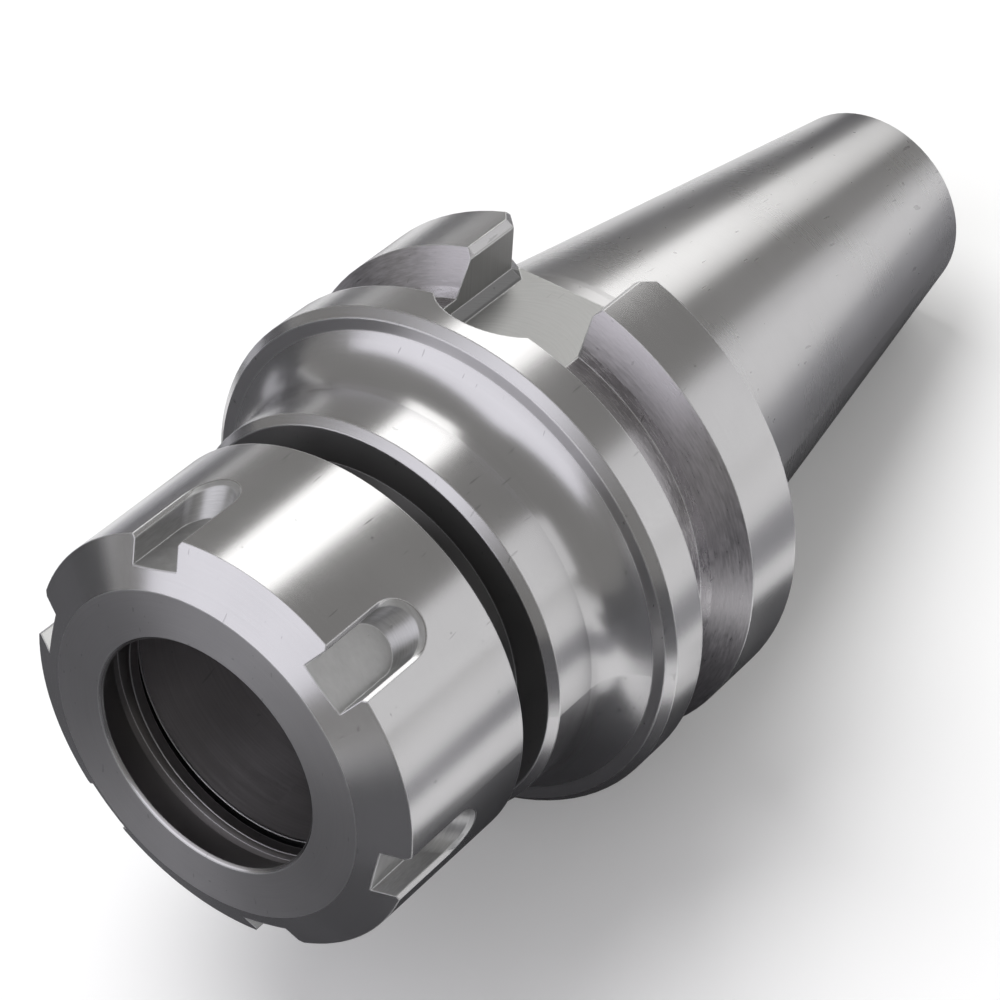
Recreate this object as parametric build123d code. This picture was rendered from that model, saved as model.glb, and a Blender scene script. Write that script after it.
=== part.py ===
from build123d import *
from math import atan2, cos, degrees, hypot, pi, radians, sqrt, tan
import os

# Collet chuck holder, taper size 40, with a clamping nut for size 32 spring collets.
# Millimetres. Each piece is made with the tool axis along Y, the nose towards -Y and the drive
# slots up and down, and is then tilted as the holder lies on a bench, on its flange and its tail.
# The origin is the centre of the gauge plane.
# A station is a distance in front of the gauge plane, towards the nose.

# 7:24 spindle taper
gauge_diameter = 44.45
taper_ratio = 7 / 24
taper_length = 65.4
tail_chamfer = 1.0

# Flange with the V groove for the tool changer
flange_diameter = 63.0
flange_back_station = 2.0
flange_length = 25.4
flange_back_chamfer = 1.0
flange_front_chamfer = 1.0
groove_station = 16.6
groove_width = 10.0
groove_depth = 5.0
groove_angle = 60.0

# Drive slots
slot_width = 16.2
slot_floor_height = 22.5
slot_centre_station = 16.4
slot_floor_chamfer = 1.2
slot_mouth_chamfer = 2.2
slot_edge_chamfer = 0.9
slot_count = 2

# Body between the flange and the nut
body_diameter = 50.0
fillet_radius = 6.0
fillet_rim_diameter = 58.2
shoulder_station = 39.7
shoulder_chamfer = 0.9

# Threaded nose, drawn at its pitch diameter
thread_pitch_diameter = 39.0
nose_station = 58.3
nose_chamfer = 1.2
relief_groove_width = 3.0
relief_groove_diameter = 37.6
relief_groove_corner = 1.2

# Collet socket and the clearance bore behind it
socket_mouth_diameter = 33.0
socket_half_angle = 8.0
socket_depth = 34.0
shank_bore_diameter = 23.0
shank_bore_depth = 47.0
coolant_bore_diameter = 10.0
drill_angle = 118.0

# Tail bore for the pull stud, its thread drawn at the pitch diameter
pilot_diameter = 17.0
pilot_depth = 8.0
pilot_edge = 0.8
stud_bore_diameter = 14.7
stud_bore_length = 32.0

# Clamping nut
nut_diameter = 50.0
nut_length = 22.3
nut_face_station = 67.2
nut_face_diameter = 39.8
nut_front_chamfer_length = 2.7
nut_back_chamfer = 0.6
nut_opening_diameter = 28.0
nut_opening_edge = 0.4
nut_cone_half_angle = 30.0
nut_cone_depth = 5.4
nut_groove_diameter = 34.8
nut_lip_diameter = 32.6
nut_lip_offset = 0.6
nut_lip_front_depth = 6.6
nut_lip_width = 1.3
nut_bore_chamfer = 1.0
thread_clearance = 0.05

# Wrench slots in the nut
wrench_slot_count = 6
wrench_slot_width = 6.0
wrench_slot_depth = 3.0
wrench_slot_length = 11.4
wrench_slot_ramp = 40.0
wrench_slot_start = 40.3
wrench_slot_edge = 0.45

# How far a cutting tool runs past the metal
overrun = 5.0


def at(diameter, station):
    """A point of a turned outline, given by its diameter and its station."""
    return Vector(diameter / 2, -station)


def turned(*edges):
    """The solid turned from a closed outline beside the axis."""
    return revolve(make_face(edges), Axis.Y)


def turned_line(*points):
    """The solid turned from an outline of straight lines, closed along the axis."""
    return turned(Polyline(*points, close=True))


def taper_diameter(station):
    return gauge_diameter + taper_ratio * station


flange_front_station = flange_back_station + flange_length
groove_root_diameter = flange_diameter - 2 * groove_depth
groove_slope = groove_depth * tan(radians(groove_angle / 2))
tail_station = -taper_length


def shank_profile():
    """From the tail to the back of the flange."""
    return [
        at(0, tail_station),
        at(taper_diameter(tail_station) - 2 * tail_chamfer, tail_station),
        at(taper_diameter(tail_station + tail_chamfer), tail_station + tail_chamfer),
        at(gauge_diameter, 0),
        at(gauge_diameter, flange_back_station),
    ]


def flange_profile():
    """From the back of the flange to the start of the fillet on its front face."""
    groove_back = groove_station - groove_width / 2
    groove_front = groove_station + groove_width / 2
    return [
        at(flange_diameter - 2 * flange_back_chamfer, flange_back_station),
        at(flange_diameter, flange_back_station + flange_back_chamfer),
        at(flange_diameter, groove_back),
        at(groove_root_diameter, groove_back + groove_slope),
        at(groove_root_diameter, groove_front - groove_slope),
        at(flange_diameter, groove_front),
        at(flange_diameter, flange_front_station - flange_front_chamfer),
        at(flange_diameter - 2 * flange_front_chamfer, flange_front_station),
        at(fillet_rim_diameter, flange_front_station),
    ]


def fillet_centre():
    """The fillet is tangent to the body and meets the flange face at its rim."""
    radius = body_diameter / 2 + fillet_radius
    fall = radius - fillet_rim_diameter / 2
    return radius, flange_front_station + sqrt(fillet_radius**2 - fall**2)


def nose_profile():
    """From the end of the fillet to the nose face, closed on the axis."""
    groove_end = shoulder_station + relief_groove_width
    step = (thread_pitch_diameter - relief_groove_diameter) / 2
    return [
        at(body_diameter, fillet_centre()[1]),
        at(body_diameter, shoulder_station - shoulder_chamfer),
        at(body_diameter - 2 * shoulder_chamfer, shoulder_station),
        at(relief_groove_diameter + 2 * relief_groove_corner, shoulder_station),
        at(relief_groove_diameter, shoulder_station + relief_groove_corner),
        at(relief_groove_diameter, groove_end - step),
        at(thread_pitch_diameter, groove_end),
        at(thread_pitch_diameter, nose_station - nose_chamfer),
        at(thread_pitch_diameter - 2 * nose_chamfer, nose_station),
        at(0, nose_station),
    ]


def holder_blank():
    """The outside of the holder, turned as one piece."""
    back = shank_profile() + flange_profile()
    front = nose_profile()
    centre_radius, centre_station = fillet_centre()
    reach = fillet_radius * cos(pi / 4)
    fillet_arc = ThreePointArc(back[-1], (centre_radius - reach, reach - centre_station), front[0])
    return turned(Polyline(*back), fillet_arc, Polyline(*front), Line(front[-1], back[0]))


def socket_bore():
    """The collet socket, the clearance bore behind it and its drilled end."""
    slope = tan(radians(socket_half_angle))
    socket_end = nose_station - socket_depth
    small_diameter = socket_mouth_diameter - 2 * socket_depth * slope
    bore_end = nose_station - shank_bore_depth
    drill = (shank_bore_diameter - coolant_bore_diameter) / 2 / tan(radians(drill_angle / 2))
    return turned_line(
        at(0, nose_station + overrun),
        at(socket_mouth_diameter, nose_station + overrun),
        at(socket_mouth_diameter, nose_station),
        at(small_diameter, socket_end),
        at(shank_bore_diameter, socket_end),
        at(shank_bore_diameter, bore_end),
        at(coolant_bore_diameter, bore_end - drill),
        at(0, bore_end - drill),
    )


def stud_bore():
    """The pilot and threaded bore for the pull stud, and the coolant bore that joins the socket."""
    pilot_end = tail_station + pilot_depth
    bore_end = pilot_end + stud_bore_length
    drill = (stud_bore_diameter - coolant_bore_diameter) / 2 / tan(radians(drill_angle / 2))
    return turned_line(
        at(0, tail_station - overrun),
        at(pilot_diameter + 2 * pilot_edge, tail_station - overrun),
        at(pilot_diameter + 2 * pilot_edge, tail_station),
        at(pilot_diameter, tail_station + pilot_edge),
        at(pilot_diameter, pilot_end),
        at(stud_bore_diameter, pilot_end),
        at(stud_bore_diameter, bore_end),
        at(coolant_bore_diameter, bore_end + drill),
        at(coolant_bore_diameter, nose_station - shank_bore_depth),
        at(0, nose_station - shank_bore_depth),
    )


def slot_corner_height():
    """How far from the axis, measured straight up, the slot's chamfer meets the flange."""
    return sqrt((flange_diameter / 2) ** 2 - (slot_width / 2 + slot_edge_chamfer) ** 2)


def slot_outline(front_end):
    """Half of a drive slot seen from above, from its flared mouth to its front end."""
    half = slot_width / 2
    mouth = half + slot_mouth_chamfer + overrun
    return [
        (mouth, overrun - flange_back_station),
        (half, -flange_back_station - slot_mouth_chamfer),
        (half, -front_end),
    ]


def drive_slot():
    """The milled slot, with a round front end and a bevelled floor corner, and its broken edges."""
    half = slot_width / 2
    right = slot_outline(slot_centre_station)
    left = [(-x, y) for x, y in reversed(right)]
    nose_end = ThreePointArc(right[-1], (0, -slot_centre_station - half), left[0])
    plan = make_face([Polyline(*right), nose_end, Polyline(*left), Line(left[-1], right[0])])
    height = flange_diameter / 2 - slot_floor_height + overrun
    pocket = Pos(0, 0, slot_floor_height) * extrude(plan, height)
    floor_edges = pocket.faces().sort_by(Axis.Z)[0].edges()
    pocket = chamfer(floor_edges.sort_by(Axis.Y)[:-1], slot_floor_chamfer)

    edge_right = slot_outline(groove_station - groove_width / 2 + groove_slope)
    edge_left = [(-x, y) for x, y in reversed(edge_right)]
    edge_plan = make_face(Polyline(*edge_right, *edge_left, close=True))
    edge_cut = extrude(edge_plan, slot_edge_chamfer + overrun / 2, taper=-45)
    return pocket + Pos(0, 0, slot_corner_height() - slot_edge_chamfer) * edge_cut


def make_holder_body():
    body = holder_blank() - socket_bore() - stud_bore()
    for i in range(slot_count):
        body -= Rot(0, i * 360 / slot_count, 0) * drive_slot()
    return body


def nut_blank():
    """The nut turned outside and inside, before its lip is bored off centre."""
    front = nut_face_station
    back = front - nut_length
    opening_end = front - nut_opening_edge
    cone_end = front - nut_cone_depth
    cone_diameter = nut_opening_diameter + 2 * (opening_end - cone_end) * tan(
        radians(nut_cone_half_angle)
    )
    lip_front = front - nut_lip_front_depth
    lip_back = lip_front - nut_lip_width
    bore_diameter = thread_pitch_diameter + 2 * thread_clearance
    return turned_line(
        at(nut_face_diameter, front),
        at(nut_diameter, front - nut_front_chamfer_length),
        at(nut_diameter, back + nut_back_chamfer),
        at(nut_diameter - 2 * nut_back_chamfer, back),
        at(bore_diameter + 2 * nut_bore_chamfer, back),
        at(bore_diameter, back + nut_bore_chamfer),
        at(bore_diameter, lip_back),
        at(nut_opening_diameter, lip_back),
        at(nut_opening_diameter, lip_front),
        at(nut_groove_diameter, lip_front),
        at(nut_groove_diameter, cone_end),
        at(cone_diameter, cone_end),
        at(nut_opening_diameter, opening_end),
        at(nut_opening_diameter + 2 * nut_opening_edge, front),
    )


def lip_bore():
    """The off-centre bore that leaves the lip which pulls the collet out."""
    lip_middle = nut_face_station - nut_lip_front_depth - nut_lip_width / 2
    bore = Rot(90, 0, 0) * Cylinder(nut_lip_diameter / 2, nut_lip_width + nut_lip_offset)
    return Pos(nut_lip_offset, -lip_middle, 0) * bore


def wrench_slot():
    """One slot for the hook wrench: a flat floor, and a round end that climbs to the outside."""
    half = wrench_slot_width / 2
    floor_height = nut_diameter / 2 - wrench_slot_depth
    centre = nut_face_station - wrench_slot_length + half
    open_end = nut_face_station + nut_diameter / 2
    sides = Polyline((half, -centre), (half, -open_end), (-half, -open_end), (-half, -centre))
    round_end = ThreePointArc((-half, -centre), (0, half - centre), (half, -centre))
    climb = wrench_slot_depth + overrun
    direction = Vector(0, tan(radians(wrench_slot_ramp)), 1)
    swept = extrude(make_face([sides, round_end]), climb * direction.length, dir=direction)
    return Pos(0, 0, floor_height) * swept


def is_slot_edge(edge):
    """True for an edge that a wrench slot cuts in the outside of the nut."""
    points = [edge @ share for share in (0, 0.3, 0.7, 1)]
    on_outside = all(abs(hypot(p.X, p.Z) - nut_diameter / 2) < 0.001 for p in points)
    return on_outside and edge.geom_type != GeomType.CIRCLE


def make_clamping_nut():
    nut = nut_blank() - lip_bore()
    for i in range(wrench_slot_count):
        nut -= Rot(0, wrench_slot_start + i * 360 / wrench_slot_count, 0) * wrench_slot()
    edges = nut.edges().filter_by(is_slot_edge)
    return chamfer(edges, wrench_slot_edge)


def rest_tilt():
    """How far the tail hangs when the holder lies on the corners of one drive slot and its tail."""
    corner_station = flange_back_station + slot_mouth_chamfer + slot_edge_chamfer * (sqrt(2) - 1)
    tail_edge_station = tail_station + tail_chamfer
    drop = slot_corner_height() - taper_diameter(tail_edge_station) / 2
    return degrees(atan2(drop, corner_station - tail_edge_station))


def main():
    lying = Rot(-rest_tilt(), 0, 0)
    os.makedirs("parts", exist_ok=True)
    export_step(lying * make_holder_body(), "parts/holder_body.step")
    export_step(lying * make_clamping_nut(), "parts/clamping_nut.step")


main()
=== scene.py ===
from math import pi, radians, tau

import bpy
from mathutils import Matrix, Vector


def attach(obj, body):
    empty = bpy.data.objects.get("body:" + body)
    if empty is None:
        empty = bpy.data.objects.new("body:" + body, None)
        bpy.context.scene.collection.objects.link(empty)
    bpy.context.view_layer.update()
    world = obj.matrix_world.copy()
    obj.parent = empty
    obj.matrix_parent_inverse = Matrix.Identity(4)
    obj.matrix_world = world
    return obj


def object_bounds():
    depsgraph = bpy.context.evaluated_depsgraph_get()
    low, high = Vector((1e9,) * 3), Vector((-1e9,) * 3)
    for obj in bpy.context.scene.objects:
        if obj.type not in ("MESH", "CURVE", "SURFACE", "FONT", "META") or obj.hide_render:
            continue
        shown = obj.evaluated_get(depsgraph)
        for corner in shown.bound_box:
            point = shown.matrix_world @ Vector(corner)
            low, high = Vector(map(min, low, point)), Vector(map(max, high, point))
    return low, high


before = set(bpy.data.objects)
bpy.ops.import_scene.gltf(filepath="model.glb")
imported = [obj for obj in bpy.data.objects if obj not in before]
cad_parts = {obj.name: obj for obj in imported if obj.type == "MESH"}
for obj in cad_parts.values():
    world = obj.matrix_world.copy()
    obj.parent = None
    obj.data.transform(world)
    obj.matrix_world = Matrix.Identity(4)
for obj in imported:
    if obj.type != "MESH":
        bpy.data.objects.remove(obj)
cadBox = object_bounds()
print("frame loaded:", ", ".join(sorted(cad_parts)))

# The holder lies tilted on its flange and tail, so its axis dips below +Y.
toolAxis = Vector((0, 0.969776, -0.243996))
restTilt = radians(14.1225)
perMetre = (1000, 1000, 1000)               # scale from metres to millimetres


# Short helpers for node trees.

def newNode(tree, kind, **settings):
    node = tree.nodes.new(kind)
    for key, value in settings.items():
        setattr(node, key, value)
    return node


def plug(tree, source, target):
    if isinstance(source, bpy.types.NodeSocket):
        tree.links.new(source, target)
    else:
        target.default_value = source


def maths(tree, operation, first, second=0.0, third=0.0, clamp=False):
    node = newNode(tree, "ShaderNodeMath", operation=operation, use_clamp=clamp)
    plug(tree, first, node.inputs[0])
    plug(tree, second, node.inputs[1])
    if operation == "MULTIPLY_ADD":
        plug(tree, third, node.inputs[2])
    return node.outputs[0]


def vectorMaths(tree, operation, first, second=(0, 0, 0)):
    node = newNode(tree, "ShaderNodeVectorMath", operation=operation)
    plug(tree, first, node.inputs[0])
    plug(tree, second, node.inputs[1])
    return node.outputs["Value" if operation in ("DOT_PRODUCT", "LENGTH") else "Vector"]


def between(tree, value, low, high, soft):
    # 1 where value lies from low to high, fading over soft
    rising = newNode(tree, "ShaderNodeMapRange", interpolation_type="SMOOTHSTEP")
    falling = newNode(tree, "ShaderNodeMapRange", interpolation_type="SMOOTHSTEP")
    for node, edge in ((rising, low), (falling, high)):
        plug(tree, value, node.inputs["Value"])
        node.inputs["From Min"].default_value = edge - soft / 2
        node.inputs["From Max"].default_value = edge + soft / 2
    falling.inputs["To Min"].default_value = 1
    falling.inputs["To Max"].default_value = 0
    return maths(tree, "MULTIPLY", rising.outputs[0], falling.outputs[0])


def product(tree, first, *others):
    for other in others:
        first = maths(tree, "MULTIPLY", first, other)
    return first


def zone(tree, place, limits):
    # 1 where every limit holds, each one given as (measure, low, high, soft) in millimetres
    parts = [between(tree, place[measure], *edges) for measure, *edges in limits]
    return product(tree, *parts)


def blendValue(tree, factor, first, second):
    node = newNode(tree, "ShaderNodeMix", data_type="FLOAT")
    plug(tree, factor, node.inputs[0])
    plug(tree, first, node.inputs[2])
    plug(tree, second, node.inputs[3])
    return node.outputs[0]


def blendColour(tree, factor, first, second):
    node = newNode(tree, "ShaderNodeMix", data_type="RGBA")
    plug(tree, factor, node.inputs[0])
    plug(tree, first, node.inputs[6])
    plug(tree, second, node.inputs[7])
    return node.outputs[2]


def layered(tree, blend, base, layers):
    # each layer covers what is under it where its mask is 1
    for mask, value in layers:
        base = blend(tree, mask, base, value)
    return base


def noise(tree, vector, scale, detail, rough):
    node = newNode(tree, "ShaderNodeTexNoise")
    plug(tree, vector, node.inputs["Vector"])
    node.inputs["Scale"].default_value = scale
    node.inputs["Detail"].default_value = detail
    node.inputs["Roughness"].default_value = rough
    return node.outputs[0]


def combine(tree, x, y, z):
    node = newNode(tree, "ShaderNodeCombineXYZ")
    for socket, value in zip(node.inputs, (x, y, z)):
        plug(tree, value, socket)
    return node.outputs[0]


def turnedCoordinates(tree):
    # the tool's own frame in millimetres: station in front of the gauge plane, radius and angle
    place = newNode(tree, "ShaderNodeTexCoord")
    upright = newNode(tree, "ShaderNodeMapping")
    plug(tree, place.outputs["Object"], upright.inputs["Vector"])
    upright.inputs["Rotation"].default_value = (restTilt, 0, 0)
    upright.inputs["Scale"].default_value = perMetre
    parts = newNode(tree, "ShaderNodeSeparateXYZ")
    plug(tree, upright.outputs[0], parts.inputs[0])
    x, y, z = parts.outputs
    square = maths(tree, "MULTIPLY_ADD", x, x, maths(tree, "MULTIPLY", z, z))
    return {
        "object": place.outputs["Object"],
        "x": x,
        "z": z,
        "station": maths(tree, "MULTIPLY", y, -1.0),
        "radius": maths(tree, "SQRT", square),
        "angle": maths(tree, "ARCTAN2", x, z),
    }


def aroundAxis(tree, place):
    # the direction the turning tool cut in, for the stretched highlights
    around = vectorMaths(tree, "CROSS_PRODUCT", tuple(toolAxis), place["object"])
    turn = newNode(tree, "ShaderNodeVectorTransform", vector_type="VECTOR",
                   convert_from="OBJECT", convert_to="WORLD")
    plug(tree, vectorMaths(tree, "NORMALIZE", around), turn.inputs[0])
    return turn.outputs[0]


def newMaterial(name):
    material = bpy.data.materials.new(name)
    material.use_nodes = True
    tree = material.node_tree
    tree.nodes.clear()
    shader = newNode(tree, "ShaderNodeBsdfPrincipled")
    output = newNode(tree, "ShaderNodeOutputMaterial")
    plug(tree, shader.outputs[0], output.inputs["Surface"])
    return material, tree, shader


# Marks, stains and lighter edges, which both steels share; the lighter edge colour is a painted
# highlight.

wearAndEdgeHighlight = {
    "speckDepth": -1.6,
    "speckRange": (0.79, 2.0, 0.04),         # low, high and soft edge in the noise
    "scratchRange": (0.83, 2.0, 0.04),
    "scratchTurn": (0.5, 0.9, 0.3),
    "scratchScale": (2800, 200, 900),
    "speckRough": 0.12,                      # what specks, marks and stains add to the roughness
    "markRough": 0.10,
    "stainRough": 0.06,
    "leastRough": 0.08,
    "markShade": 0.5,                        # what marks and stains do to the brightness
    "stainShade": 0.5,
    "shades": (0.80, 1.20),
    "edgeRadius": 0.00022,                   # metres, how wide the rounded, lighter edges are
    "edgeGain": 8.0,
    "edgeRough": 0.42,
    # lighter colour on the edges, a painted highlight where they catch light
    "edgeHighlightColour": (0.86, 0.86, 0.87, 1),
    "stretch": 0.6,                          # how far highlights run across the tool marks
    "stretchTurn": 0.25,
}


def turnedLines(tree, place, perMillimetre, length):
    # fine rings left by turning and grinding: narrow along the axis, long around it
    arcRadius = 25.0
    around = maths(tree, "MULTIPLY", place["angle"], arcRadius / length)
    across = maths(tree, "MULTIPLY", place["station"], perMillimetre)
    outward = maths(tree, "MULTIPLY", place["radius"], perMillimetre)
    return noise(tree, combine(tree, around, across, outward), scale=1.0, detail=3.0, rough=0.6)


def handlingMarks(tree, place):
    # sparse specks and short scratches left by handling, 1 on a mark and 0 elsewhere
    grains = newNode(tree, "ShaderNodeMapping")
    plug(tree, place["object"], grains.inputs["Vector"])
    grains.inputs["Scale"].default_value = perMetre
    specks = noise(tree, grains.outputs[0], scale=1.0, detail=1.0, rough=0.5)
    streaks = newNode(tree, "ShaderNodeMapping")
    plug(tree, place["object"], streaks.inputs["Vector"])
    streaks.inputs["Rotation"].default_value = wearAndEdgeHighlight["scratchTurn"]
    streaks.inputs["Scale"].default_value = wearAndEdgeHighlight["scratchScale"]
    scratches = noise(tree, streaks.outputs[0], scale=1.0, detail=0.0, rough=0.5)
    specks = between(tree, specks, *wearAndEdgeHighlight["speckRange"])
    return maths(tree, "MAXIMUM", specks, between(tree, scratches, *wearAndEdgeHighlight["scratchRange"]))


def finishSurface(tree, shader, place, colour, rough, height, strength, lineDepth, tone):
    # rough is the roughness before the marks, height the marks from 0 to 1, strength and
    # lineDepth (metres) how deep they are, and tone the slow stains from 0 to 1
    height = maths(tree, "MULTIPLY", maths(tree, "SUBTRACT", height, 0.5), strength)
    specks = handlingMarks(tree, place)
    height = maths(tree, "MULTIPLY_ADD", specks, wearAndEdgeHighlight["speckDepth"], height)
    rough = maths(tree, "MULTIPLY_ADD", specks, wearAndEdgeHighlight["speckRough"], rough)
    rough = maths(tree, "MULTIPLY_ADD", height, wearAndEdgeHighlight["markRough"], rough)
    stain = maths(tree, "SUBTRACT", tone, 0.5)
    rough = maths(tree, "MULTIPLY_ADD", stain, wearAndEdgeHighlight["stainRough"], rough)

    mottle = maths(tree, "MULTIPLY", stain, wearAndEdgeHighlight["stainShade"])
    mottle = maths(tree, "MULTIPLY_ADD", height, wearAndEdgeHighlight["markShade"], mottle)
    shade = newNode(tree, "ShaderNodeMapRange")
    plug(tree, mottle, shade.inputs["Value"])
    shade.inputs["From Min"].default_value = -0.5
    shade.inputs["From Max"].default_value = 0.5
    darkest, brightest = wearAndEdgeHighlight["shades"]
    shade.inputs["To Min"].default_value = darkest
    shade.inputs["To Max"].default_value = brightest
    scaled = newNode(tree, "ShaderNodeVectorMath", operation="SCALE")
    plug(tree, colour, scaled.inputs[0])
    plug(tree, shade.outputs[0], scaled.inputs["Scale"])

    # edges are rounded in the shading and made lighter in colour as a painted highlight
    edges = newNode(tree, "ShaderNodeBevel", samples=6)
    edges.inputs["Radius"].default_value = wearAndEdgeHighlight["edgeRadius"]
    flatNormal = newNode(tree, "ShaderNodeNewGeometry").outputs["Normal"]
    likeness = vectorMaths(tree, "DOT_PRODUCT", edges.outputs[0], flatNormal)
    edgeHighlightMask = maths(tree, "SUBTRACT", 1.0, likeness)
    edgeHighlightMask = maths(tree, "MULTIPLY", edgeHighlightMask, wearAndEdgeHighlight["edgeGain"], clamp=True)
    colour = blendColour(tree, edgeHighlightMask, scaled.outputs[0], wearAndEdgeHighlight["edgeHighlightColour"])
    rough = maths(tree, "MAXIMUM", rough, wearAndEdgeHighlight["leastRough"])
    plug(tree, colour, shader.inputs["Base Color"])
    plug(tree, blendValue(tree, edgeHighlightMask, rough, wearAndEdgeHighlight["edgeRough"]), shader.inputs["Roughness"])

    relief = newNode(tree, "ShaderNodeBump")
    relief.inputs["Strength"].default_value = 1.0
    relief.inputs["Distance"].default_value = lineDepth
    plug(tree, height, relief.inputs["Height"])
    plug(tree, edges.outputs[0], relief.inputs["Normal"])
    plug(tree, relief.outputs[0], shader.inputs["Normal"])
    shader.inputs["Metallic"].default_value = 1
    shader.inputs["Anisotropic"].default_value = wearAndEdgeHighlight["stretch"]
    shader.inputs["Anisotropic Rotation"].default_value = wearAndEdgeHighlight["stretchTurn"]
    plug(tree, aroundAxis(tree, place), shader.inputs["Tangent"])


# Steel of the holder body.

holderFinish = {
    "steel": (0.56, 0.555, 0.56, 1),         # ground and turned surfaces
    "milledSteel": (0.50, 0.50, 0.495, 1),   # floors and walls of the drive slots
    "cornerShadeSteel": (0.22, 0.22, 0.22, 1),    # foot of the slot walls, darkened as painted shade where the corner lies in shadow
    "flankSteel": (0.50, 0.485, 0.50, 1),    # brushed flanks of the V groove
    "socketSteel": (0.50, 0.485, 0.49, 1),   # inside of the bores
    "reliefShade": 0.50,                           # share of the steel colour left in the groove behind the nut and on the shoulder's flat face, painted shade for the gap between nut and shoulder
                                             # behind the nut and on the shoulder's flat face
    "reliefFootShade": 0.20,                          # and darker still on the foot of the groove, painted shade deep in the gap
    "rough": {
        "turned": 0.24, "taper": 0.28, "neck": 0.42, "flank": 0.36, "grooveFoot": 0.24,
        "frontRing": 0.30, "wall": 0.36, "milled": 0.52, "bore": 0.42,
    },
    "markStrength": {"turned": 0.4, "taper": 0.25, "flank": 4.5, "slot": 2.4, "bore": 2.0},
    "lineDepth": 0.0000012,                  # metres
    "groundLines": (4.0, 16.0),              # lines in a millimetre, and their length
    "brushedLines": (4.0, 1.6),
    "swirls": (16.4, 8.15, 3.0),             # centre station, cutter radius, swirls in a millimetre
    "stainScale": 60.0,
    "zones": {
        "taper": [("station", -90, -0.9, 0.1)],
        "neck": [("station", -0.9, 2.02, 0.1), ("radius", 15, 22.4, 0.1)],
        "groove": [("station", 11.5, 21.7, 0.1), ("radius", 26.4, 31.43, 0.06)],
        "grooveFoot": [("radius", 26.0, 27.6, 0.25)],
        "slot": [("sideways", -1, 8.25, 0.06), ("upwards", 22.35, 40, 0.06),
                 ("station", 1.9, 24.62, 0.06), ("radius", 20, 31.42, 0.06)],
        "slotFloor": [("upwards", 22.3, 22.75, 0.1)],
        # the foot of the slot walls, where the colour is darkened as painted shade
        "slotCornerShade": [("sideways", 6.85, 8.08, 0.1), ("upwards", 22.55, 23.68, 0.1)],
        "frontRing": [("station", 27.3, 27.5, 0.04), ("radius", 29.0, 30.6, 0.06)],
        "socket": [("radius", -1, 17.2, 0.1), ("station", 10, 58.0, 0.2)],
        "tailBore": [("radius", -1, 9.0, 0.1), ("station", -64.9, 12, 0.2)],
        "relief": [("station", 39.0, 45.5, 0.1), ("radius", 17.2, 23.95, 0.1)],
        "reliefFoot": [("station", 39.72, 45.5, 0.06), ("radius", 18.6, 20.5, 0.4)],
    },
}


def cutterSwirls(tree, place, centre, cutter, perMillimetre):
    # arcs of an end mill fed along the slot
    leastDepth, sidewaysGrain = 0.01, 0.25
    sideways = maths(tree, "MULTIPLY", place["x"], place["x"])
    depth = maths(tree, "SUBTRACT", cutter * cutter, sideways)
    bow = maths(tree, "SQRT", maths(tree, "MAXIMUM", depth, leastDepth))
    along = maths(tree, "ADD", maths(tree, "SUBTRACT", place["station"], centre), bow)
    scaled = maths(tree, "MULTIPLY", along, perMillimetre)
    grain = maths(tree, "MULTIPLY", place["x"], sidewaysGrain)
    return noise(tree, combine(tree, scaled, grain, 0.0), scale=1.0, detail=3.0, rough=0.6)


def makeHolderSteel(finish):
    material, tree, shader = newMaterial("holderSteel")
    place = turnedCoordinates(tree)
    place["sideways"] = maths(tree, "ABSOLUTE", place["x"])
    place["upwards"] = maths(tree, "ABSOLUTE", place["z"])

    zones = {name: zone(tree, place, limits) for name, limits in finish["zones"].items()}
    taper, groove, slot = zones["taper"], zones["groove"], zones["slot"]
    relief, reliefFoot = zones["relief"], zones["reliefFoot"]
    grooveFoot = product(tree, groove, zones["grooveFoot"])
    slotFloor = product(tree, slot, zones["slotFloor"])
    slotCornerShade = product(tree, zones["slotCornerShade"], slot)
    inside = maths(tree, "MAXIMUM", zones["socket"], zones["tailBore"])
    dullParts = maths(tree, "MAXIMUM", inside, relief)

    ground = turnedLines(tree, place, *finish["groundLines"])
    brushed = turnedLines(tree, place, *finish["brushedLines"])
    swirls = cutterSwirls(tree, place, *finish["swirls"])
    height = layered(tree, blendValue, ground, [(groove, brushed), (slot, swirls)])
    tone = noise(tree, place["object"], finish["stainScale"], detail=3.0, rough=0.6)

    rough = finish["rough"]
    rough = layered(tree, blendValue, rough["turned"], [
        (taper, rough["taper"]),
        (zones["neck"], rough["neck"]),
        (groove, rough["flank"]),
        (grooveFoot, rough["grooveFoot"]),
        (zones["frontRing"], rough["frontRing"]),
        (slot, rough["wall"]),
        (slotFloor, rough["milled"]),
        (dullParts, rough["bore"]),
    ])
    steel = finish["steel"]
    reliefShade = tuple(c * finish["reliefShade"] for c in steel[:3]) + (1,)
    reliefFootShade = tuple(c * finish["reliefFootShade"] for c in steel[:3]) + (1,)
    colour = layered(tree, blendColour, steel, [
        (groove, finish["flankSteel"]),
        (slot, finish["milledSteel"]),
        # painted shade at the foot of the slot walls
        (slotCornerShade, finish["cornerShadeSteel"]),
        (inside, finish["socketSteel"]),
        # painted shade in the gap behind the nut, darkest at the groove's foot
        (relief, reliefShade),
        (reliefFoot, reliefFootShade),
    ])
    strength = finish["markStrength"]
    strength = layered(tree, blendValue, strength["turned"], [
        (taper, strength["taper"]),
        (groove, strength["flank"]),
        (slot, strength["slot"]),
        (inside, strength["bore"]),
    ])
    finishSurface(tree, shader, place, colour, rough, height, strength, finish["lineDepth"], tone)
    return material


# Steel of the clamping nut.

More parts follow.
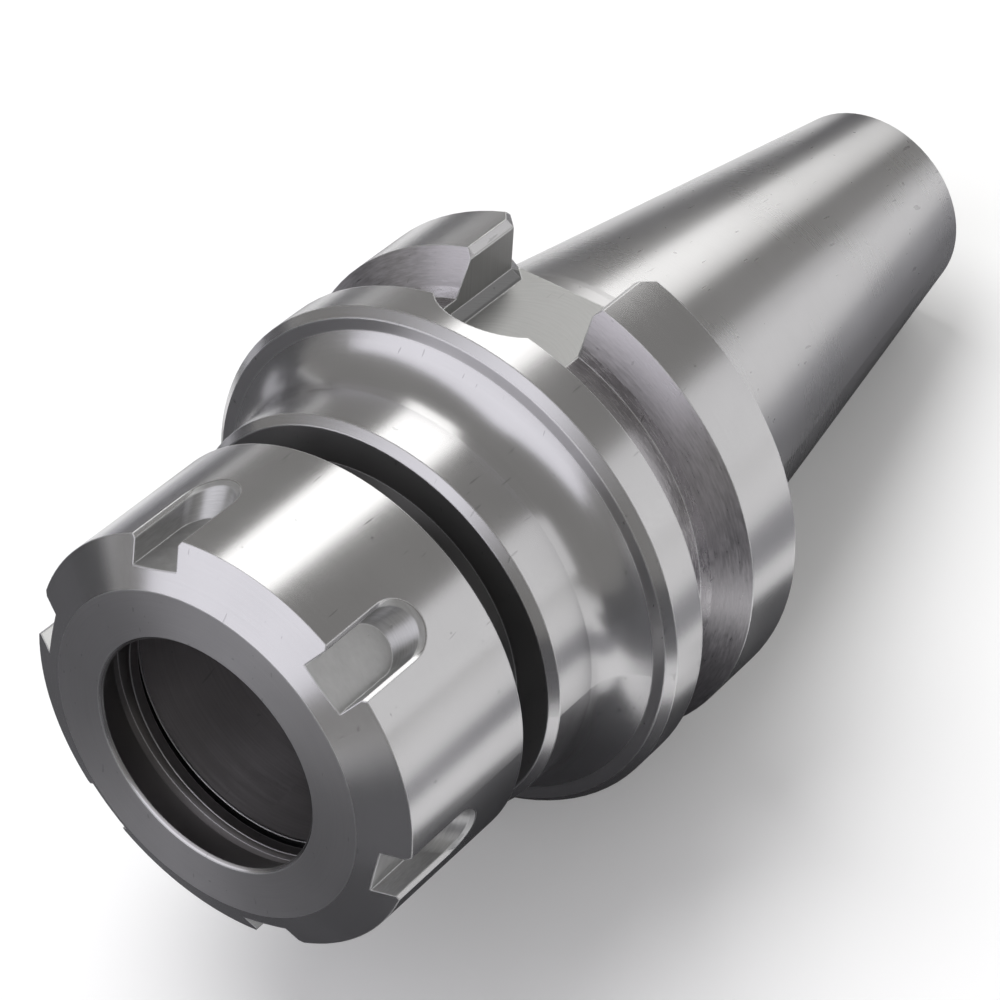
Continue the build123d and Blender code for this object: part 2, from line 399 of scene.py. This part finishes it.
nutFinish = {
    "steel": (0.565, 0.56, 0.565, 1),
    "slotSteel": (0.60, 0.60, 0.60, 1),
    # inside of the bore, darker as painted shade for the recess
    "boreShadeSteel": (0.37, 0.36, 0.36, 1),
    "rough": {"ground": 0.23, "face": 0.42, "slot": 0.44, "bore": 0.32},
    "markStrength": {"ground": 0.4, "slot": 2.6, "face": 0.8},
    "lineDepth": 0.0000010,                  # metres
    "groundLines": (5.0, 18.0),              # lines in a millimetre, and their length
    "cutterGrain": (0.6, 6.0, 0.8),          # across, outwards and along a wrench slot
    "stainScale": 70.0,
    "slotStart": 40.3,                       # degrees, as in the part's source
    "slotShare": pi / 6,                     # half of the turn from one slot to the next
    "zones": {
        "slot": [("slotSide", -1, 3.06, 0.04), ("slotRise", 21.85, 40, 0.04),
                 ("radius", 20, 24.93, 0.04), ("station", 50, 68, 0.1)],
        "face": [("station", 67.12, 68, 0.04), ("radius", 14.3, 19.95, 0.06)],
        "inside": [("radius", -1, 19.8, 0.1), ("station", 44, 67.0, 0.1)],
    },
}


def makeNutSteel(finish):
    material, tree, shader = newMaterial("nutSteel")
    place = turnedCoordinates(tree)
    radius = place["radius"]

    # one wrench slot's own place, six times round
    turn = maths(tree, "SUBTRACT", place["angle"], radians(finish["slotStart"]))
    turn = maths(tree, "WRAP", turn, finish["slotShare"])
    turn.node.inputs[2].default_value = -finish["slotShare"]
    slotSide = maths(tree, "MULTIPLY", radius, maths(tree, "SINE", turn))
    place["slotSide"] = maths(tree, "ABSOLUTE", slotSide)
    place["slotRise"] = maths(tree, "MULTIPLY", radius, maths(tree, "COSINE", turn))
    zones = {name: zone(tree, place, limits) for name, limits in finish["zones"].items()}
    slot, face, inside = zones["slot"], zones["face"], zones["inside"]

    ground = turnedLines(tree, place, *finish["groundLines"])
    measures = (place["x"], place["slotRise"], place["station"])
    steps = [maths(tree, "MULTIPLY", *pair) for pair in zip(measures, finish["cutterGrain"])]
    cutterSteps = noise(tree, combine(tree, *steps), scale=1.0, detail=3.0, rough=0.6)
    height = blendValue(tree, slot, ground, cutterSteps)
    tone = noise(tree, place["object"], finish["stainScale"], detail=3.0, rough=0.6)

    rough = finish["rough"]
    layers = [(face, rough["face"]), (slot, rough["slot"]), (inside, rough["bore"])]
    rough = layered(tree, blendValue, rough["ground"], layers)
    # the bore's inside is darkened as painted shade
    layers = [(slot, finish["slotSteel"]), (inside, finish["boreShadeSteel"])]
    colour = layered(tree, blendColour, finish["steel"], layers)
    strength = finish["markStrength"]
    layers = [(slot, strength["slot"]), (face, strength["face"])]
    strength = layered(tree, blendValue, strength["ground"], layers)
    finishSurface(tree, shader, place, colour, rough, height, strength, finish["lineDepth"], tone)
    return material


def dress(node, material):
    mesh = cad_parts[node].data
    mesh.materials.clear()
    mesh.materials.append(material)


dress("holder_body", makeHolderSteel(holderFinish))
dress("clamping_nut", makeNutSteel(nutFinish))
print("steel finishes made")


# Threads: the ridges that stand over the solids' pitch diameters.

# millimetres and degrees, with the foot and the tip as shares of the pitch
noseThread = {
    "radius": 19.5, "reach": 0.42, "pitch": 1.5, "turns": 1.0,
    "back": 43.55, "start": -90, "steps": 120, "foot": 0.25, "tip": 0.06,
}
studThread = {
    "radius": 7.35, "reach": -0.44, "pitch": 2.0, "turns": 14.5,
    "back": -56.6, "start": 0, "steps": 48, "foot": 0.25, "tip": 0.06,
}


def makeThread(name, sizes, materialName, body):
    # one profile carried round Y in millimetres, then scaled and laid along the tool's axis
    foot, tip = (sizes["pitch"] * sizes[key] for key in ("foot", "tip"))
    middle = sizes["radius"] + sizes["reach"] / 2
    bpy.ops.object.select_all(action="DESELECT")
    bpy.ops.mesh.primitive_plane_add(size=1)
    ridge = bpy.context.object
    ridge.name = name
    bpy.ops.object.mode_set(mode="EDIT")
    bpy.ops.mesh.select_all(action="SELECT")
    bpy.ops.transform.resize(value=(abs(sizes["reach"]), foot * 2, 1))
    outward = 1 if sizes["reach"] > 0 else -1
    bpy.ops.object.mode_set(mode="OBJECT")
    for part in (ridge.data.polygons, ridge.data.edges, ridge.data.vertices):
        for item in part:
            item.select = False
    for vertex in ridge.data.vertices:
        vertex.select = vertex.co.x * outward > 0
    bpy.ops.object.mode_set(mode="EDIT")
    bpy.ops.transform.resize(value=(1, tip / foot, 1))
    bpy.ops.mesh.select_all(action="SELECT")
    bpy.ops.transform.translate(value=(middle, -sizes["back"], 0))
    bpy.ops.mesh.delete(type="ONLY_FACE")
    bpy.ops.object.mode_set(mode="OBJECT")
    carried = ridge.modifiers.new("helix", "SCREW")
    carried.axis = "Y"
    carried.steps = carried.render_steps = int(sizes["steps"] * sizes["turns"])
    carried.iterations = 1
    carried.angle = tau * sizes["turns"]
    carried.screw_offset = -sizes["pitch"] * sizes["turns"]
    bpy.ops.object.modifier_apply(modifier="helix")
    bpy.ops.object.mode_set(mode="EDIT")
    bpy.ops.mesh.select_all(action="SELECT")
    bpy.ops.mesh.remove_doubles(threshold=0.001)
    bpy.ops.mesh.select_all(action="DESELECT")
    bpy.ops.mesh.select_non_manifold()
    bpy.ops.mesh.fill_holes(sides=4)                 # the two ends
    bpy.ops.mesh.select_all(action="SELECT")
    bpy.ops.mesh.normals_make_consistent(inside=False)
    bpy.ops.object.mode_set(mode="OBJECT")
    ridge.rotation_euler = (0, -radians(sizes["start"]), 0)
    bpy.ops.object.transform_apply(rotation=True)
    ridge.rotation_euler = (-restTilt, 0, 0)
    ridge.scale = (0.001, 0.001, 0.001)
    bpy.ops.object.transform_apply(rotation=True, scale=True)
    bpy.ops.object.shade_smooth_by_angle(angle=radians(30))
    ridge.data.materials.append(bpy.data.materials[materialName])
    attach(ridge, body)
    return ridge


makeThread("noseThread", noseThread, "holderSteel", "holder")
makeThread("studThread", studThread, "holderSteel", "holder")
print("threads made")


# Studio.

studio = {
    "worldLevel": 0.30,
    "worldColour": (1.0, 0.985, 0.96, 1),
    "floorColour": (0.86, 0.86, 0.86, 1),
    "floorGlow": 0.12,
    "floorSize": 8.0,
    "cardTint": 1.05,                        # how much bluer than grey the cards are
    "cardRough": 0.9,
    "aim": (0, -0.005, 0.0),
    "lights": [
        # name, direction, distance, size around the axis, size along it, level, colour,
        # and whether the steel mirrors it. The key only lights the floor and casts the shadow.
        ("backLeftSoftbox", (-0.275, 0.80, 0.53), 0.9, 0.43, 0.66, 2.0,
         (1.0, 1.0, 0.985), True),
        ("backRightSoftbox", (0.68, 0.70, 0.17), 0.9, 0.48, 0.8, 0.68,
         (0.98, 0.98, 1.0), True),
        ("frontSoftbox", (-0.25, -0.79, 0.56), 0.9, 1.36, 1.00, 0.98,
         (0.965, 0.955, 1.04), True),
        ("overheadKey", (-0.42, 0.10, 1.0), 1.1, 0.80, 0.80, 5.0,
         (1.0, 1.0, 1.0), False),
    ],
    "cards": [
        # name, centre, width, height or depth, the way it faces, degrees of turn in its plane, grey
        ("backLeftCard", (-0.112, 0.092, -0.008), 0.36, 0.040, (0.77, -0.62, 0), 0, 0.16),
        ("frontLeftCard", (-0.170, -0.150, -0.005), 0.30, 0.050, (0.75, 0.66, 0), 0, 0.13),
        ("frontRightCard", (0.170, -0.160, -0.005), 0.30, 0.050, (-0.73, 0.68, 0), 0, 0.13),
        ("leftFloorCard", (-0.084, -0.193, -0.0275), 0.32, 0.21, (0, 0, 1), 131.2, 0.10),
        ("farLeftFloorCard", (-0.239, 0.037, -0.0275), 0.23, 0.188, (0, 0, 1), 131.2, 0.48),
        ("frontFloorCard", (0.155, -0.152, -0.0275), 0.33, 0.20, (0, 0, 1), 32.7, 0.13),
        ("rightFloorCard", (0.071, 0.043, -0.0275), 0.40, 0.042, (0, 0, 1), 120.9, 0.32),
        ("noseFloorCard", (0.005, -0.037, -0.0275), 0.078, 0.091, (0, 0, 1), 120.9, 0.12),
        ("taperFloorCard", (-0.009, 0.097, -0.0275), 0.165, 0.040, (0, 0, 1), 120.9, 0.20),
        ("chamferFloorCard", (-0.014, -0.075, -0.0275), 0.135, 0.060, (0, 0, 1), 131.2, 0.09),
        ("noseLeftFloorCard", (-0.042, -0.022, -0.0275), 0.085, 0.034, (0, 0, 1), 120.9, 0.15),
        ("flangeLeftFloorCard", (-0.067, 0.030, -0.0275), 0.030, 0.024, (0, 0, 1), 120.9, 0.15),
        ("flangeRightFloorCard", (0.037, 0.0122, -0.0275), 0.030, 0.018, (0, 0, 1), 120.9, 0.12),
    ],
}


def makeFloor(settings, height):
    bpy.ops.object.select_all(action="DESELECT")
    bpy.ops.mesh.primitive_plane_add(size=settings["floorSize"], location=(0, 0, height))
    floor = bpy.context.object
    floor.name = "studioFloor"
    bpy.ops.object.transform_apply(location=True)
    material = bpy.data.materials.new("paleFloor")
    material.use_nodes = True
    tree = material.node_tree
    tree.nodes.clear()
    paper = newNode(tree, "ShaderNodeBsdfDiffuse")
    paper.inputs["Color"].default_value = settings["floorColour"]
    glow = newNode(tree, "ShaderNodeEmission")
    rays = newNode(tree, "ShaderNodeLightPath")
    seen = maths(tree, "MAXIMUM", rays.outputs["Is Camera Ray"], rays.outputs["Is Glossy Ray"])
    seen = maths(tree, "MAXIMUM", seen, rays.outputs["Is Transmission Ray"])
    plug(tree, maths(tree, "MULTIPLY", seen, settings["floorGlow"]), glow.inputs["Strength"])
    both = newNode(tree, "ShaderNodeAddShader")
    plug(tree, paper.outputs[0], both.inputs[0])
    plug(tree, glow.outputs[0], both.inputs[1])
    output = newNode(tree, "ShaderNodeOutputMaterial")
    plug(tree, both.outputs[0], output.inputs["Surface"])
    floor.data.materials.append(material)
    return floor


def makeSoftbox(name, direction, distance, across, along, level, colour, mirrored, aim):
    # level is how bright the box itself looks, with white paper at 1
    outward = Vector(direction).normalized()
    lengthwise = (toolAxis - outward * toolAxis.dot(outward)).normalized()
    sideways = lengthwise.cross(outward)
    lamp = bpy.data.lights.new(name, "AREA")
    lamp.shape = "RECTANGLE" if across != along else "DISK"
    lamp.color = colour
    lamp.size = across
    lamp.size_y = along
    area = across * along if across != along else pi / 4 * across * along
    lamp.energy = level * pi * area
    box = bpy.data.objects.new(name, lamp)
    bpy.context.scene.collection.objects.link(box)
    turn = Matrix((sideways, lengthwise, outward)).transposed().to_4x4()
    box.matrix_world = Matrix.Translation(Vector(aim) + outward * distance) @ turn
    box.visible_camera = False
    box.visible_glossy = mirrored
    return box


def makeCard(name, centre, width, depth, facing, turned, grey, tint, rough):
    # a grey card that only reflections see, upright at the side or lying just over the floor,
    # where some are inside the picture
    bpy.ops.object.select_all(action="DESELECT")
    bpy.ops.mesh.primitive_plane_add(size=1)
    card = bpy.context.object
    card.name = name
    outward = Vector(facing).normalized()
    level = Vector((0, 0, 1)).cross(outward)
    level = level.normalized() if level.length > 0.1 else Vector((1, 0, 0))
    turn = Matrix((level, outward.cross(level), outward)).transposed().to_4x4()
    turn = turn @ Matrix.Rotation(radians(turned), 4, "Z") @ Matrix.Diagonal((width, depth, 1, 1))
    card.matrix_world = Matrix.Translation(Vector(centre)) @ turn
    material = bpy.data.materials.new(name + "Paper")
    material.use_nodes = True
    paper = material.node_tree.nodes["Principled BSDF"]
    paper.inputs["Base Color"].default_value = (grey, grey, grey * tint, 1)
    paper.inputs["Roughness"].default_value = rough
    card.data.materials.append(material)
    card.visible_camera = card.visible_diffuse = card.visible_shadow = False


def makeWorld(level, colour):
    world = bpy.data.worlds.new("studioAir")
    bpy.context.scene.world = world
    world.use_nodes = True
    air = world.node_tree.nodes["Background"]
    air.inputs["Color"].default_value = colour
    air.inputs["Strength"].default_value = level


makeWorld(studio["worldLevel"], studio["worldColour"])
makeFloor(studio, cadBox[0][2])
for light in studio["lights"]:
    makeSoftbox(*light, aim=studio["aim"])
for card in studio["cards"]:
    makeCard(*card, tint=studio["cardTint"], rough=studio["cardRough"])
print("studio set up")


# Camera at the photo's viewing angle.

view = {
    "place": (0.169191, -0.20041, 0.30875),
    "ahead": (-0.42947, 0.47179, -0.77006),
    "right": (0.80650, 0.58404, -0.09197),
    "lens": 126.23,
    "sensor": 36.0,
}


def makeCamera(settings):
    camera = bpy.data.objects.new("photoCamera", bpy.data.cameras.new("photoCamera"))
    bpy.context.scene.collection.objects.link(camera)
    ahead = Vector(settings["ahead"]).normalized()
    right = Vector(settings["right"])
    right = (right - ahead * right.dot(ahead)).normalized()
    up = right.cross(ahead)
    camera.data.lens = settings["lens"]
    camera.data.sensor_width = settings["sensor"]
    turn = Matrix((right, up, -ahead)).transposed().to_4x4()
    camera.matrix_world = Matrix.Translation(Vector(settings["place"])) @ turn
    bpy.context.scene.camera = camera


makeCamera(view)
bpy.context.scene.view_settings.view_transform = "Standard"
print("camera set")
